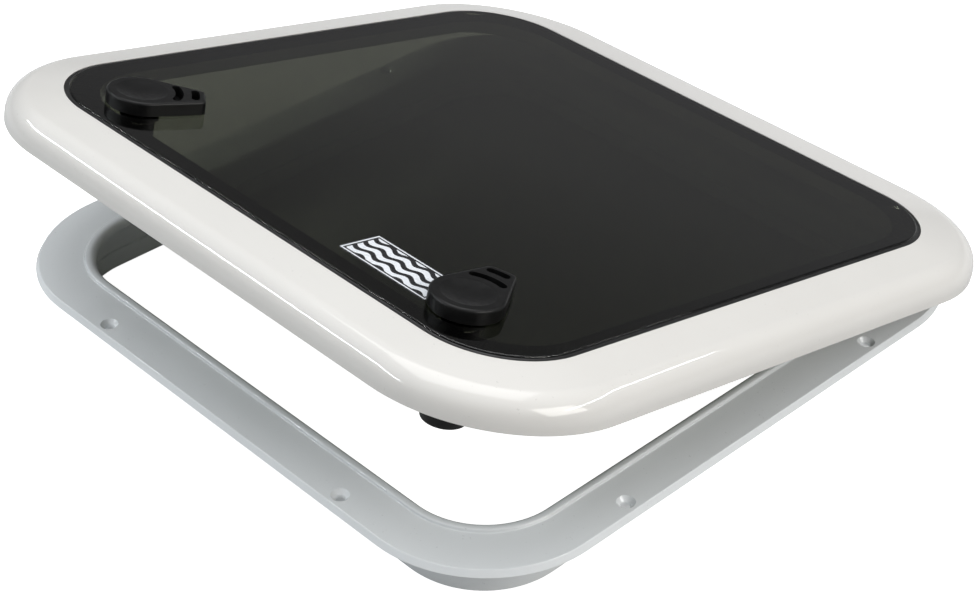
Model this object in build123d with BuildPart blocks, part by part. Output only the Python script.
from build123d import *

import math
import os

# Square deck hatch, modelled with its lid partly open. Millimetres and degrees.
# z = 0 is the deck, +Y is the hinge side and the origin is the middle of the deck screw pattern.
# Heights on the lid, its latches and its hinge leaves are those of the closed lid.

# Base frame: a flange on the deck, a raised rim and a spigot through the deck's cut-out.
FLANGE_HALF, FLANGE_R, FLANGE_T, FLANGE_ROUND = 255.0, 90.0, 5.0, 0.8
FLANGE_LAND, FLANGE_DRAFT = 0.8, 30.0
RIM_HALF, RIM_R, RIM_TOP, RIM_ROUND = 222.4, 62.4, 7.2, 1.6
WAY_HALF, WAY_R, WAY_ROUND = 214.0, 54.0, 6.0
LIP_UNDER = 0.5
RECESS_HALF, RECESS_R, RECESS_BOTTOM = 224.5, 62.5, -22.0
BAND_HALF, BAND_R = 222.4, 57.0
SPIGOT_HALF, SPIGOT_R, SPIGOT_BOTTOM = 227.4, 61.6, -36.4
DECK_HOLE_NEAR, DECK_HOLE_FAR, DECK_HOLE_R, DECK_SINK_R = 120.0, 244.0, 3.25, 6.1

# Hinge axis, parallel to X, and the lid's opening in this pose.
HINGE_Y, HINGE_Z = 272.0, 12.0
LID_OPEN = 13.13

# Lid frame outline, and the pocket that its lens sits in.
LID_HALF, LID_FRONT, LID_REAR, LID_FRONT_R, LID_REAR_R = 268.4, -272.3, 282.1, 100.0, 110.0
POCKET_HALF, POCKET_FRONT, POCKET_REAR, POCKET_R = 229.6, -234.7, 228.8, 62.0
SKIRT_BOTTOM, SKIRT_TOP, SHOULDER_R, CROWN_SLOPE = 2.0, 7.1, 17.5, 10.0
CROWN_STEPS = (0.0, 0.03, 0.1, 0.2, 0.37, 0.7, 1.0)
LID_WALL, WEB_SHARE = 4.5, 0.8
REAR_SKIRT_BOTTOM, REAR_RELIEF_Y = 6.5, 270.0
LEG_HALF, LEG_R, LEG_BOTTOM, LEG_TOP = 232.5, 73.0, 10.0, 26.0
LID_WAY_HALF, LID_WAY_R = 213.0, 54.0
POCKET_FLOOR = 19.4

# Lens, its sealant and the gasket that lands on the rim.
LENS_UNDER, LENS_TOP, LENS_BEVEL = 20.0, 29.6, 1.0
BEAD_W, BEAD_TOP = 3.0, 28.3
GROOVE_OUTER, GROOVE_INNER, GROOVE_TOP = 225.6, 216.6, 14.0
GASKET_GAP, GASKET_BOTTOM, GASKET_ROUND = 0.2, 7.5, 3.0

# Hinges: two, each with base and lid leaves on one pin.
HINGE_X, LEAF_HALF, LEAF_T = 75.0, 22.0, 3.5
BASE_LEAF_FRONT, LEAF_REAR = 235.0, 262.0
LID_LEAF_FRONT, LID_LEAF_TOP = 238.0, 17.0
BOSS_FRONT, BOSS_REAR, BOSS_HALF, BOSS_TOP = 236.0, 264.0, 24.0, 22.0
KNUCKLE_R, LID_KNUCKLE_HALF, BASE_KNUCKLE_START, LID_ARM_TOP = 4.6, 10.2, 11.0, 16.4
PIN_R, PIN_HEAD_R, PIN_HEAD_T, PIN_END = 2.5, 4.1, 2.0, 27.0
PIN_SEAT_R, BUSH_R, BUSH_BORE_R = 2.55, 3.5, 2.53
PIN_CHAMFER, BUSH_EASE = 0.5, 0.02
NUT_R, NUT_T = 4.3, 4.0
WASHER_R, WASHER_BORE_R, WASHER_T = 4.3, 2.6, 0.6
# Side view of a base knuckle's arm, from the flange up to the pin.
BASE_ARM_FOOT = ((262.0, 8.5), (250.0, 8.5), (250.0, 5.0), (271.0, 5.0))
BASE_ARM_HEAD = ((275.6, 9.3), (272.0, 12.0), (267.6, 13.0))
LID_ARM_OVERLAP = 2.0
NOTCH_HALF, NOTCH_R, NOTCH_FRONT, NOTCH_TOP = 29.0, 5.3, 266.0, 13.5
SCREW_X, BASE_SCREW_Y, LID_SCREW_Y = 13.0, 245.0, 249.0
SCREW_R, SCREW_HOLE_R, SCREW_HEAD_R, SCREW_LENGTH, SCREW_EASE = 2.4, 2.5, 4.6, 8.0, 0.1
DRIVE_R, DRIVE_DEPTH = 1.5, 1.4

# Latches: outer handle, spindle through the lens, inner handle with a dog under the rim's lip.
LATCH_X, LATCH_Y = 158.7, -192.9
LEVER_ANGLE = {"left": 54.0, "right": 105.0}
HANDLE_R, HANDLE_GAP, HANDLE_TOP, HANDLE_ROUND = 23.6, 0.6, 40.0, 2.2
TIP_R, TIP_X, TIP_Y = 4.2, 6.4, 38.8
DISH_R, DISH_DEPTH = 18.0, 1.9
SLOT_RADII, SLOT_HALF_ANGLES, SLOT_W, SLOT_DEPTH = (25.2, 36.2), (24.0, 8.5), 5.6, 7.0
HANDLE_RECESS_R, HANDLE_RECESS_TOP = 15.0, 32.2
SPINDLE_R, SPINDLE_SQUARE, SPINDLE_TOP, SPINDLE_NECK, SPINDLE_BOTTOM = 5.0, 7.0, 37.0, 11.8, -12.0
SOCKET_SQUARE = 7.05
TAP_R, TAP_TOP = 2.5, 3.0
LENS_HOLE_R = 9.2
LENS_BUSH_R, LENS_BUSH_BORE_R, LENS_BUSH_FLANGE_R, LENS_BUSH_BOTTOM = 9.0, 5.05, 14.0, 13.2
BUSH_SEAL_R, BUSH_SEAL_T, BUSH_FLANGE_TOP = 13.5, 0.8, 31.6
BUSH_NUT_R, BUSH_NUT_T = 15.0, 5.0
RING_Z, RING_R, RING_SECTION_R, RING_GROOVE_R, RING_GROOVE_HALF = 24.0, 5.72, 0.62, 6.4, 1.0
THRUST_R, THRUST_BOTTOM, THRUST_TOP = 10.0, 11.9, 12.9
HUB_R, HUB_TOP = 11.0, 11.7
GRIP_R, GRIP_TOP, GRIP_BOTTOM, GRIP_ROUND = 15.0, -31.0, -46.0, 1.5
GRIP_TIP_R, GRIP_TIP_Y = 7.5, 37.0
DOG_TOP, DOG_BOTTOM, DOG_TIP_R, DOG_REACH = 0.0, -9.0, 6.0, 30.0
DOG_CHAMFER = 1.5
BOLT_R, BOLT_HOLE_R, BOLT_HEAD_R, BOLT_HEAD_T, BOLT_SEAT, BOLT_TIP = 2.45, 2.8, 5.2, 3.2, -28.0, 1.0
COUNTERBORE_R, CAP_R, CAP_T = 6.5, 6.45, 1.6

# Badge on the lens beside the right latch.
BADGE_X, BADGE_Y, BADGE_LENGTH, BADGE_W, BADGE_R, BADGE_T = 103.0, -193.1, 78.0, 35.2, 3.5, 0.3

# How far a cut runs on past the face that it opens.
OVERRUN = 5.0

SIDES = {"left": -1, "right": 1}

os.makedirs("parts", exist_ok=True)


def save(piece, name):
    """Labels a finished piece and writes it as its own file."""
    piece.part.label = name
    export_step(piece.part, f"parts/{name}.step")


# Places

HINGE = Vector(0, HINGE_Y, HINGE_Z)


def opened(x, y, z):
    """Where a point of the closed lid stands in this pose."""
    return (Vector(x, y, z) - HINGE).rotate(Axis.X, -LID_OPEN) + HINGE


LID_UP = Vector(0, 0, 1).rotate(Axis.X, -LID_OPEN)
LID_NORMAL = Axis((0, 0, 0), LID_UP)


def lid_plane(z):
    """The lid's own horizontal plane at a closed height."""
    return Plane(origin=opened(0, 0, z), x_dir=(1, 0, 0), z_dir=LID_UP)


def lid_side_plane(x):
    """A plane square to the hinge axis, with the lid's own Y and Z as its axes."""
    y_dir = Vector(0, 1, 0).rotate(Axis.X, -LID_OPEN)
    return Plane(origin=opened(x, 0, 0), x_dir=y_dir, z_dir=(1, 0, 0))


def latch_plane(side, z):
    """A plane across a latch's axis, with +Y along its lever."""
    x_dir = Vector(1, 0, 0).rotate(LID_NORMAL, LEVER_ANGLE[side] - 90)
    return Plane(origin=opened(SIDES[side] * LATCH_X, LATCH_Y, z), x_dir=x_dir, z_dir=LID_UP)


# Shapes used more than once

def rounded_square(half, radius):
    """A centred square with round corners, in the current sketch."""
    RectangleRounded(2 * half, 2 * half, radius)


def lid_corners(step, wall=0.0):
    """Corners of the lid's outline between its skirt (step 0) and the pocket's edge (step 1)."""
    half = LID_HALF + step * (POCKET_HALF - LID_HALF) - wall
    front = LID_FRONT + step * (POCKET_FRONT - LID_FRONT) + wall
    rear = LID_REAR + step * (POCKET_REAR - LID_REAR) - wall
    return (-half, front), (half, front), (half, rear), (-half, rear)


def lid_radii(step, wall=0.0):
    """Radii of those corners."""
    front = LID_FRONT_R + step * (POCKET_R - LID_FRONT_R) - wall
    rear = LID_REAR_R + step * (POCKET_R - LID_REAR_R) - wall
    return front, front, rear, rear


def crown_rise(step):
    """The lid's top above its skirt at a step inwards: a round shoulder, then a slope."""
    inset = step * (LID_HALF - POCKET_HALF)
    slope = math.radians(CROWN_SLOPE)
    shoulder = SHOULDER_R * (1 - math.sin(slope))
    if inset < shoulder:
        return math.sqrt(SHOULDER_R**2 - (SHOULDER_R - inset) ** 2)
    return SHOULDER_R * math.cos(slope) + (inset - shoulder) * math.tan(slope)


CROWN_TOP = SKIRT_TOP + crown_rise(1)


def pocket_outline(inset):
    """The lens pocket's outline, moved inwards."""
    with Locations((0, (POCKET_FRONT + POCKET_REAR) / 2)):
        RectangleRounded(
            2 * (POCKET_HALF - inset), POCKET_REAR - POCKET_FRONT - 2 * inset, POCKET_R - inset
        )


def countersunk_screws():
    """A hinge leaf's two screws, heads up, at the current location."""
    with GridLocations(2 * SCREW_X, 0, 2, 1):
        down = (Align.CENTER, Align.CENTER, Align.MAX)
        Cylinder(SCREW_R, SCREW_LENGTH, align=down)
        head_r = SCREW_HEAD_R - SCREW_EASE
        Cone(SCREW_R, head_r, head_r - SCREW_R, align=down)
        Cylinder(DRIVE_R, DRIVE_DEPTH, align=down, mode=Mode.SUBTRACT)


def ring(outer, bore):
    """A plain ring, in the current sketch."""
    Circle(outer)
    Circle(bore, mode=Mode.SUBTRACT)


# Base frame

with BuildPart() as base_frame:
    with BuildSketch(Plane.XY):
        rounded_square(FLANGE_HALF, FLANGE_R)
    extrude(amount=FLANGE_LAND)
    with BuildSketch(Plane.XY.offset(FLANGE_LAND)):
        rounded_square(FLANGE_HALF, FLANGE_R)
    extrude(amount=FLANGE_T - FLANGE_LAND, taper=FLANGE_DRAFT)
    fillet(base_frame.edges().group_by(Axis.Z)[-1], FLANGE_ROUND)
    with BuildSketch(Plane.XY):
        rounded_square(RIM_HALF, RIM_R)
    extrude(amount=RIM_TOP)
    fillet(base_frame.edges().group_by(Axis.Z)[-1], RIM_ROUND)
    with BuildSketch(Plane.XY.offset(SPIGOT_BOTTOM)):
        rounded_square(SPIGOT_HALF, SPIGOT_R)
    extrude(amount=FLANGE_T - SPIGOT_BOTTOM)
    # The way through, with the lip that the dogs hook under left standing above the recess.
    with BuildSketch(Plane.XY.offset(SPIGOT_BOTTOM)):
        rounded_square(WAY_HALF, WAY_R)
    extrude(amount=RIM_TOP - SPIGOT_BOTTOM, mode=Mode.SUBTRACT)
    rim_face = base_frame.faces().sort_by(Axis.Z)[-1]
    fillet(rim_face.inner_wires()[0].edges(), WAY_ROUND)
    with BuildSketch(Plane.XY.offset(LIP_UNDER)):
        rounded_square(RECESS_HALF, RECESS_R)
    extrude(amount=RECESS_BOTTOM - LIP_UNDER, mode=Mode.SUBTRACT)
    with BuildSketch(Plane.XY.offset(RECESS_BOTTOM)):
        rounded_square(BAND_HALF, BAND_R)
    extrude(amount=SPIGOT_BOTTOM - RECESS_BOTTOM, mode=Mode.SUBTRACT)
    with Locations(Plane.XY.offset(FLANGE_T)):
        with GridLocations(2 * DECK_HOLE_NEAR, 2 * DECK_HOLE_FAR, 2, 2):
            CounterSinkHole(DECK_HOLE_R, DECK_SINK_R, depth=FLANGE_T, counter_sink_angle=90)
        with GridLocations(2 * DECK_HOLE_FAR, 2 * DECK_HOLE_NEAR, 2, 2):
            CounterSinkHole(DECK_HOLE_R, DECK_SINK_R, depth=FLANGE_T, counter_sink_angle=90)
        for side in SIDES.values():
            with Locations((side * HINGE_X, BASE_SCREW_Y)):
                with GridLocations(2 * SCREW_X, 0, 2, 1):
                    Hole(SCREW_HOLE_R, depth=FLANGE_T)
save(base_frame, "base_frame")

# Lid frame

with BuildPart() as lid_frame:
    with BuildSketch(lid_plane(SKIRT_BOTTOM)):
        with BuildLine():
            FilletPolyline(*lid_corners(0), radius=lid_radii(0), close=True)
        make_face()
    extrude(amount=SKIRT_TOP - SKIRT_BOTTOM)
    for step in CROWN_STEPS:
        with BuildSketch(lid_plane(SKIRT_TOP + crown_rise(step))):
            with BuildLine():
                FilletPolyline(*lid_corners(step), radius=lid_radii(step), close=True)
            make_face()
    loft()
    # Hollow underside.
    with BuildSketch(lid_plane(SKIRT_BOTTOM)):
        with BuildLine():
            FilletPolyline(*lid_corners(0, LID_WALL), radius=lid_radii(0, LID_WALL), close=True)
        make_face()
    extrude(amount=SKIRT_TOP - SKIRT_BOTTOM, mode=Mode.SUBTRACT)
    for step in CROWN_STEPS:
        with BuildSketch(lid_plane(SKIRT_TOP + WEB_SHARE * crown_rise(step))):
            with BuildLine():
                FilletPolyline(*lid_corners(step, LID_WALL), radius=lid_radii(step, LID_WALL), close=True)
            make_face()
    loft(mode=Mode.SUBTRACT)
    with BuildSketch(lid_plane(LEG_BOTTOM)):
        rounded_square(LEG_HALF, LEG_R)
    extrude(amount=LEG_TOP - LEG_BOTTOM)
    # Bosses for the lid's hinge leaves.
    with BuildSketch(lid_plane(LID_LEAF_TOP)):
        with Locations(*[(side * HINGE_X, (BOSS_FRONT + BOSS_REAR) / 2) for side in SIDES.values()]):
            Rectangle(2 * BOSS_HALF, BOSS_REAR - BOSS_FRONT)
    extrude(amount=BOSS_TOP - LID_LEAF_TOP)
    with Locations(lid_plane(LID_LEAF_TOP)):
        for side in SIDES.values():
            with Locations((side * HINGE_X, LID_SCREW_Y)):
                with GridLocations(2 * SCREW_X, 0, 2, 1):
                    Cylinder(
                        SCREW_HOLE_R,
                        BOSS_TOP - LID_LEAF_TOP,
                        align=(Align.CENTER, Align.CENTER, Align.MIN),
                        mode=Mode.SUBTRACT,
                    )
    # Lens pocket, the way through and the gasket's groove.
    with BuildSketch(lid_plane(POCKET_FLOOR)):
        pocket_outline(0)
    extrude(amount=CROWN_TOP - POCKET_FLOOR + OVERRUN, mode=Mode.SUBTRACT)
    with BuildSketch(lid_plane(LEG_BOTTOM)):
        rounded_square(LID_WAY_HALF, LID_WAY_R)
    extrude(amount=POCKET_FLOOR - LEG_BOTTOM, mode=Mode.SUBTRACT)
    with BuildSketch(lid_plane(LEG_BOTTOM)):
        rounded_square(GROOVE_OUTER, WAY_R + GROOVE_OUTER - WAY_HALF)
        with BuildSketch(mode=Mode.PRIVATE) as groove_core:
            rounded_square(GROOVE_INNER, WAY_R + GROOVE_INNER - WAY_HALF)
        add(groove_core.sketch, mode=Mode.SUBTRACT)
    extrude(amount=GROOVE_TOP - LEG_BOTTOM, mode=Mode.SUBTRACT)
    # The rear skirt is cut short so that it sweeps clear of the deck.
    with BuildSketch(lid_plane(0)):
        with Locations((0, (REAR_RELIEF_Y + LID_REAR + OVERRUN) / 2)):
            Rectangle(2 * LID_HALF, LID_REAR + OVERRUN - REAR_RELIEF_Y)
    extrude(amount=REAR_SKIRT_BOTTOM, mode=Mode.SUBTRACT)
    # Notches that let the hinges turn.
    for side in SIDES.values():
        with BuildSketch(lid_side_plane(side * HINGE_X - NOTCH_HALF)):
            with Locations(((NOTCH_FRONT + LID_REAR + OVERRUN) / 2, NOTCH_TOP / 2)):
                Rectangle(LID_REAR + OVERRUN - NOTCH_FRONT, NOTCH_TOP)
            with Locations((HINGE_Y, HINGE_Z)):
                Circle(NOTCH_R)
        extrude(amount=2 * NOTCH_HALF, mode=Mode.SUBTRACT)
save(lid_frame, "lid_frame")

# Lens and what seals it

with BuildPart() as lens_panel:
    with BuildSketch(lid_plane(LENS_UNDER)):
        pocket_outline(BEAD_W)
    extrude(amount=LENS_TOP - LENS_UNDER)
    chamfer(lens_panel.edges().group_by(LID_NORMAL)[-1], LENS_BEVEL)
    with BuildSketch(lid_plane(LENS_UNDER)):
        with Locations(*[(side * LATCH_X, LATCH_Y) for side in SIDES.values()]):
            Circle(LENS_HOLE_R)
    extrude(amount=LENS_TOP - LENS_UNDER, mode=Mode.SUBTRACT)
save(lens_panel, "lens_panel")

with BuildPart() as lens_seal:
    with BuildSketch(lid_plane(POCKET_FLOOR)):
        pocket_outline(0)
    extrude(amount=BEAD_TOP - POCKET_FLOOR)
    with BuildSketch(lid_plane(LENS_UNDER)):
        pocket_outline(BEAD_W)
    extrude(amount=BEAD_TOP - LENS_UNDER, mode=Mode.SUBTRACT)
    with BuildSketch(lid_plane(POCKET_FLOOR)):
        rounded_square(LID_WAY_HALF, LID_WAY_R)
    extrude(amount=LENS_UNDER - POCKET_FLOOR, mode=Mode.SUBTRACT)
save(lens_seal, "lens_seal")

with BuildPart() as lid_gasket:
    with BuildSketch(lid_plane(GASKET_BOTTOM)):
        rounded_square(GROOVE_OUTER - GASKET_GAP, WAY_R + GROOVE_OUTER - GASKET_GAP - WAY_HALF)
        with BuildSketch(mode=Mode.PRIVATE) as gasket_core:
            rounded_square(GROOVE_INNER + GASKET_GAP, WAY_R + GROOVE_INNER + GASKET_GAP - WAY_HALF)
        add(gasket_core.sketch, mode=Mode.SUBTRACT)
    extrude(amount=GROOVE_TOP - GASKET_BOTTOM)
    fillet(lid_gasket.edges().group_by(LID_NORMAL)[0], GASKET_ROUND)
save(lid_gasket, "lid_gasket")

with BuildPart() as badge:
    with BuildSketch(lid_plane(LENS_TOP)):
        with Locations((BADGE_X, BADGE_Y)):
            RectangleRounded(BADGE_LENGTH, BADGE_W, BADGE_R)
    extrude(amount=BADGE_T)
save(badge, "badge")

# Hinges

for side, sign in SIDES.items():
    middle = sign * HINGE_X
    with BuildPart() as base_leaf:
        with BuildSketch(Plane.XY.offset(FLANGE_T)):
            with Locations((middle, (BASE_LEAF_FRONT + LEAF_REAR) / 2)):
                Rectangle(2 * LEAF_HALF, LEAF_REAR - BASE_LEAF_FRONT)
        extrude(amount=LEAF_T)
        for start in (middle - LEAF_HALF, middle + BASE_KNUCKLE_START):
            with BuildSketch(Plane.YZ.offset(start)):
                with BuildLine():
                    Polyline(*BASE_ARM_FOOT, *BASE_ARM_HEAD, close=True)
                make_face()
                with Locations((HINGE_Y, HINGE_Z)):
                    Circle(KNUCKLE_R)
                    Circle(PIN_SEAT_R, mode=Mode.SUBTRACT)
            extrude(amount=LEAF_HALF - BASE_KNUCKLE_START)
        with Locations(Plane.XY.offset(FLANGE_T + LEAF_T)):
            with Locations((middle, BASE_SCREW_Y)):
                with GridLocations(2 * SCREW_X, 0, 2, 1):
                    CounterSinkHole(SCREW_HOLE_R, SCREW_HEAD_R, depth=LEAF_T, counter_sink_angle=90)
    save(base_leaf, f"{side}_hinge_base_leaf")

    with BuildPart() as lid_leaf:
        with BuildSketch(lid_plane(LID_LEAF_TOP)):
            with Locations((middle, (LID_LEAF_FRONT + LEAF_REAR) / 2)):
                Rectangle(2 * LEAF_HALF, LEAF_REAR - LID_LEAF_FRONT)
        extrude(amount=-LEAF_T)
        with BuildSketch(lid_side_plane(middle - LID_KNUCKLE_HALF)):
            arm_front, arm_bottom = LEAF_REAR - LID_ARM_OVERLAP, LID_LEAF_TOP - LEAF_T
            with Locations(((arm_front + HINGE_Y) / 2, (arm_bottom + LID_ARM_TOP) / 2)):
                Rectangle(HINGE_Y - arm_front, LID_ARM_TOP - arm_bottom)
            with Locations((HINGE_Y, HINGE_Z)):
                Circle(KNUCKLE_R)
                Circle(BUSH_R, mode=Mode.SUBTRACT)
        extrude(amount=2 * LID_KNUCKLE_HALF)
        with Locations(lid_plane(LID_LEAF_TOP - LEAF_T).rotated((180, 0, 0))):
            with Locations((middle, -LID_SCREW_Y)):
                with GridLocations(2 * SCREW_X, 0, 2, 1):
                    CounterSinkHole(SCREW_HOLE_R, SCREW_HEAD_R, depth=LEAF_T, counter_sink_angle=90)
    save(lid_leaf, f"{side}_hinge_lid_leaf")

    with BuildPart() as hinge_pin:
        with BuildSketch(Plane.YZ.offset(middle - LEAF_HALF)):
            with Locations((HINGE_Y, HINGE_Z)):
                Circle(PIN_R)
        extrude(amount=LEAF_HALF + PIN_END)
        with BuildSketch(Plane.YZ.offset(middle - LEAF_HALF - PIN_HEAD_T)):
            with Locations((HINGE_Y, HINGE_Z)):
                Circle(PIN_HEAD_R)
        extrude(amount=PIN_HEAD_T)
        chamfer(hinge_pin.edges().sort_by(Axis.X)[-1], PIN_CHAMFER)
    save(hinge_pin, f"{side}_hinge_pin")

    with BuildPart() as hinge_nut:
        with BuildSketch(Plane.YZ.offset(middle + LEAF_HALF)):
            with Locations((HINGE_Y, HINGE_Z)):
                RegularPolygon(NUT_R, 6)
                Circle(PIN_SEAT_R, mode=Mode.SUBTRACT)
        extrude(amount=NUT_T)
    save(hinge_nut, f"{side}_hinge_lock_nut")

    with BuildPart() as hinge_bush:
        with BuildSketch(Plane.YZ.offset(middle - LID_KNUCKLE_HALF)):
            with Locations((HINGE_Y, HINGE_Z)):
                ring(BUSH_R - BUSH_EASE, BUSH_BORE_R)
        extrude(amount=2 * LID_KNUCKLE_HALF)
    save(hinge_bush, f"{side}_hinge_bush")

    with BuildPart() as friction_washers:
        gap_middle = (LID_KNUCKLE_HALF + BASE_KNUCKLE_START) / 2
        for start in (middle - gap_middle, middle + gap_middle):
            with BuildSketch(Plane.YZ.offset(start - WASHER_T / 2)):
                with Locations((HINGE_Y, HINGE_Z)):
                    ring(WASHER_R, WASHER_BORE_R)
            extrude(amount=WASHER_T)
    save(friction_washers, f"{side}_hinge_friction_washers")

    with BuildPart() as base_screws:
        with Locations(Plane.XY.offset(FLANGE_T + LEAF_T)):
            with Locations((middle, BASE_SCREW_Y)):
                countersunk_screws()
    save(base_screws, f"{side}_hinge_base_screws")

    with BuildPart() as lid_screws:
        with Locations(lid_plane(LID_LEAF_TOP - LEAF_T).rotated((180, 0, 0))):
            with Locations((middle, -LID_SCREW_Y)):
                countersunk_screws()
    save(lid_screws, f"{side}_hinge_lid_screws")

# Latches

for side, sign in SIDES.items():
    with BuildPart() as outer_handle:
        underside = LENS_TOP + HANDLE_GAP
        with BuildSketch(latch_plane(side, underside)):
            Circle(HANDLE_R)
            with Locations((-TIP_X, TIP_Y), (TIP_X, TIP_Y)):
                Circle(TIP_R)
            make_hull()
        extrude(amount=HANDLE_TOP - underside)
        fillet(outer_handle.edges().group_by(LID_NORMAL)[-1], HANDLE_ROUND)
        dish_ball_r = (DISH_R**2 + DISH_DEPTH**2) / (2 * DISH_DEPTH)
        with Locations(latch_plane(side, HANDLE_TOP - DISH_DEPTH + dish_ball_r)):
            Sphere(dish_ball_r, mode=Mode.SUBTRACT)
        with BuildSketch(latch_plane(side, HANDLE_TOP)):
            for radius, half_angle in zip(SLOT_RADII, SLOT_HALF_ANGLES):
                slot_line = CenterArc((0, 0), radius, 90 - half_angle, 2 * half_angle, mode=Mode.PRIVATE)
                SlotArc(slot_line, SLOT_W)
        extrude(amount=-SLOT_DEPTH, mode=Mode.SUBTRACT)
        with BuildSketch(latch_plane(side, underside)):
            Circle(HANDLE_RECESS_R)
        extrude(amount=HANDLE_RECESS_TOP - underside, mode=Mode.SUBTRACT)
        with BuildSketch(latch_plane(side, underside)):
            Rectangle(SOCKET_SQUARE, SOCKET_SQUARE)
        extrude(amount=SPINDLE_TOP - underside, mode=Mode.SUBTRACT)
    save(outer_handle, f"{side}_outer_handle")

    with BuildPart() as spindle:
        with BuildSketch(latch_plane(side, SPINDLE_BOTTOM)):
            Rectangle(SPINDLE_SQUARE, SPINDLE_SQUARE)
        extrude(amount=SPINDLE_TOP - SPINDLE_BOTTOM)
        with BuildSketch(latch_plane(side, SPINDLE_NECK)):
            Circle(SPINDLE_R)
        extrude(amount=HANDLE_RECESS_TOP - SPINDLE_NECK)
        with BuildSketch(latch_plane(side, SPINDLE_BOTTOM)):
            Circle(TAP_R)
        extrude(amount=TAP_TOP - SPINDLE_BOTTOM, mode=Mode.SUBTRACT)
    save(spindle, f"{side}_spindle")

    with BuildPart() as lens_bush:
        flange_bottom = LENS_TOP + BUSH_SEAL_T
        with BuildSketch(latch_plane(side, LENS_BUSH_BOTTOM)):
            Circle(LENS_BUSH_R)
        extrude(amount=flange_bottom - LENS_BUSH_BOTTOM)
        with BuildSketch(latch_plane(side, flange_bottom)):
            Circle(LENS_BUSH_FLANGE_R)
        extrude(amount=BUSH_FLANGE_TOP - flange_bottom)
        with BuildSketch(latch_plane(side, LENS_BUSH_BOTTOM)):
            Circle(LENS_BUSH_BORE_R)
        extrude(amount=BUSH_FLANGE_TOP - LENS_BUSH_BOTTOM, mode=Mode.SUBTRACT)
        with BuildSketch(latch_plane(side, RING_Z - RING_GROOVE_HALF)):
            Circle(RING_GROOVE_R)
        extrude(amount=2 * RING_GROOVE_HALF, mode=Mode.SUBTRACT)
    save(lens_bush, f"{side}_lens_bush")

    with BuildPart() as bush_seal:
        with BuildSketch(latch_plane(side, LENS_TOP)):
            ring(BUSH_SEAL_R, LENS_BUSH_R + BUSH_EASE)
        extrude(amount=BUSH_SEAL_T)
    save(bush_seal, f"{side}_bush_seal")

    with BuildPart() as bush_nut:
        with BuildSketch(latch_plane(side, LENS_UNDER)):
            RegularPolygon(BUSH_NUT_R, 6)
            Circle(LENS_BUSH_R + BUSH_EASE, mode=Mode.SUBTRACT)
        extrude(amount=-BUSH_NUT_T)
    save(bush_nut, f"{side}_bush_nut")

    with BuildPart() as spindle_ring:
        with Locations(latch_plane(side, RING_Z)):
            Torus(RING_R, RING_SECTION_R)
    save(spindle_ring, f"{side}_spindle_ring")

    with BuildPart() as thrust_washer:
        with BuildSketch(latch_plane(side, THRUST_BOTTOM)):
            ring(THRUST_R, LENS_BUSH_BORE_R)
        extrude(amount=THRUST_TOP - THRUST_BOTTOM)
    save(thrust_washer, f"{side}_thrust_washer")

    with BuildPart() as inner_handle:
        with BuildSketch(latch_plane(side, DOG_BOTTOM)):
            Circle(HUB_R)
            with Locations((sign * (DOG_REACH - DOG_TIP_R), 0)):
                Circle(DOG_TIP_R)
            make_hull()
        extrude(amount=DOG_TOP - DOG_BOTTOM)
        chamfer(inner_handle.edges().group_by(LID_NORMAL)[-1], DOG_CHAMFER)
        with BuildSketch(latch_plane(side, GRIP_BOTTOM)):
            Circle(GRIP_R)
            with Locations((0, GRIP_TIP_Y)):
                Circle(GRIP_TIP_R)
            make_hull()
        extrude(amount=GRIP_TOP - GRIP_BOTTOM)
        fillet(inner_handle.edges().group_by(LID_NORMAL)[0], GRIP_ROUND)
        with BuildSketch(latch_plane(side, GRIP_TOP)):
            Circle(HUB_R)
        extrude(amount=HUB_TOP - GRIP_TOP)
        with BuildSketch(latch_plane(side, HUB_TOP)):
            Rectangle(SOCKET_SQUARE, SOCKET_SQUARE)
        extrude(amount=SPINDLE_BOTTOM - HUB_TOP, mode=Mode.SUBTRACT)
        with BuildSketch(latch_plane(side, SPINDLE_BOTTOM)):
            Circle(BOLT_HOLE_R)
        extrude(amount=GRIP_BOTTOM - SPINDLE_BOTTOM, mode=Mode.SUBTRACT)
        with BuildSketch(latch_plane(side, BOLT_SEAT)):
            Circle(COUNTERBORE_R)
        extrude(amount=GRIP_BOTTOM - BOLT_SEAT, mode=Mode.SUBTRACT)
    save(inner_handle, f"{side}_inner_handle")

    with BuildPart() as handle_bolt:
        with BuildSketch(latch_plane(side, BOLT_SEAT)):
            Circle(BOLT_R)
        extrude(amount=BOLT_TIP - BOLT_SEAT)
        with BuildSketch(latch_plane(side, BOLT_SEAT)):
            Circle(BOLT_HEAD_R)
        extrude(amount=-BOLT_HEAD_T)
        with BuildSketch(latch_plane(side, BOLT_SEAT - BOLT_HEAD_T)):
            RegularPolygon(DRIVE_R, 6)
        extrude(amount=DRIVE_DEPTH, mode=Mode.SUBTRACT)
    save(handle_bolt, f"{side}_handle_bolt")

    with BuildPart() as bolt_cap:
        with BuildSketch(latch_plane(side, GRIP_BOTTOM)):
            Circle(CAP_R)
        extrude(amount=CAP_T)
    save(bolt_cap, f"{side}_bolt_cap")
